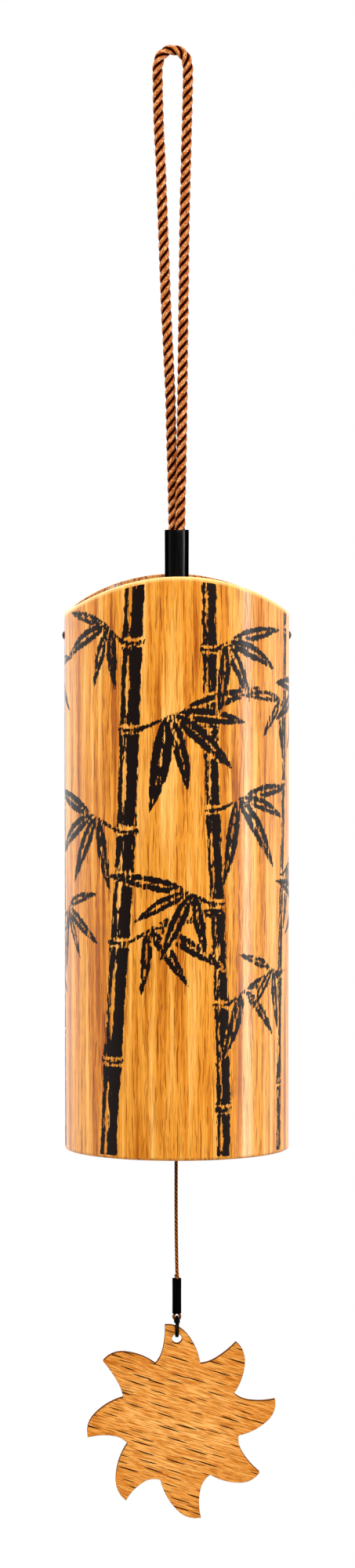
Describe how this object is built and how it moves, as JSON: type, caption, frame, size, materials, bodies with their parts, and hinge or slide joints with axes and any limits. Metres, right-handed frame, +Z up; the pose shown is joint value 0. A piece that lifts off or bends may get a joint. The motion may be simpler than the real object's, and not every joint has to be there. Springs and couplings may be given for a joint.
{
  "type": "wind chime",
  "caption": "Wooden tube wind chime with an arched top on a rope loop, with tuned rods and a striker inside and a sun-shaped wooden wind catcher below.",
  "frame": {"origin": "where a hook touches the inside of the rope loop's top", "axes": "+Z up along the hanging line, +X to the right of someone who faces the front, front to -Y"},
  "size_m": [0.0642, 0.063, 0.414],
  "materials": {
    "rope": "laid three-strand rope, satin",
    "gloss_sleeve": "glossy shrunk sleeve",
    "veneer": "satin lacquer over straight grain",
    "plate_steel": "turned",
    "rod_steel": "drawn, bright",
    "solder": "dull",
    "pin_metal": "blackened, domed",
    "braided_cord": "braided, waxed",
    "striker_wood": "sanded",
    "matt_sleeve": "matt shrunk sleeve",
    "black_thread": "waxed thread",
    "sun_wood": "oiled, short dark flecks"
  },
  "bodies": {
    "hanger": {"rope_loop": "rope"},
    "swivel": {"hanger_sleeve": "gloss_sleeve", "rope_tails": "rope"},
    "neck": {"rope_neck": "rope"},
    "chime": {"resonator_tube": "veneer", "chime_plate": "plate_steel", "rope_knot": "rope", "side_pin_left": "pin_metal", "side_pin_right": "pin_metal", "rod_1": "rod_steel", "rod_2": "rod_steel", "rod_3": "rod_steel", "rod_4": "rod_steel", "rod_5": "rod_steel", "rod_6": "rod_steel", "rod_7": "rod_steel", "rod_8": "rod_steel", "solder_beads": "solder"},
    "cord_top": {"cord_hitch": "braided_cord"},
    "striker": {"striker_cord": "braided_cord", "striker_disc": "striker_wood"},
    "catcher_line": {"catcher_cord": "braided_cord", "cord_sleeve": "matt_sleeve", "cord_eye": "braided_cord"},
    "link": {"link_loop": "black_thread"},
    "catcher": {"sun_catcher": "sun_wood"}
  },
  "joints": [
    {"name": "chime_turn", "type": "hinge", "parent": "hanger", "child": "swivel", "pos_m": [0, 0, -0.132], "axis": [0, 0, 1], "range_deg": [-180, 180]},
    {"name": "chime_nod", "type": "hinge", "parent": "swivel", "child": "neck", "pos_m": [0, 0, -0.1575], "axis": [1, 0, 0], "range_deg": [-25, 25]},
    {"name": "chime_swing", "type": "hinge", "parent": "neck", "child": "chime", "pos_m": [0, 0, -0.1575], "axis": [0, 1, 0], "range_deg": [-25, 25]},
    {"name": "striker_turn", "type": "hinge", "parent": "chime", "child": "cord_top", "pos_m": [0, 0, -0.17236], "axis": [0, 0, 1], "range_deg": [-180, 180]},
    {"name": "striker_swing", "type": "hinge", "parent": "cord_top", "child": "striker", "pos_m": [0, 0, -0.17236], "axis": [0, 1, 0], "range_deg": [-7.8, 7.8]},
    {"name": "cord_swing", "type": "hinge", "parent": "striker", "child": "catcher_line", "pos_m": [0, 0, -0.21607], "axis": [1, 0, 0], "range_deg": [-12, 12]},
    {"name": "link_swing", "type": "hinge", "parent": "catcher_line", "child": "link", "pos_m": [0, 0, -0.3547], "axis": [1, 0, 0], "range_deg": [-45, 45]},
    {"name": "catcher_swing", "type": "hinge", "parent": "link", "child": "catcher", "pos_m": [0, 0, -0.3591], "axis": [0, 1, 0], "range_deg": [-20, 20]}
  ]
}
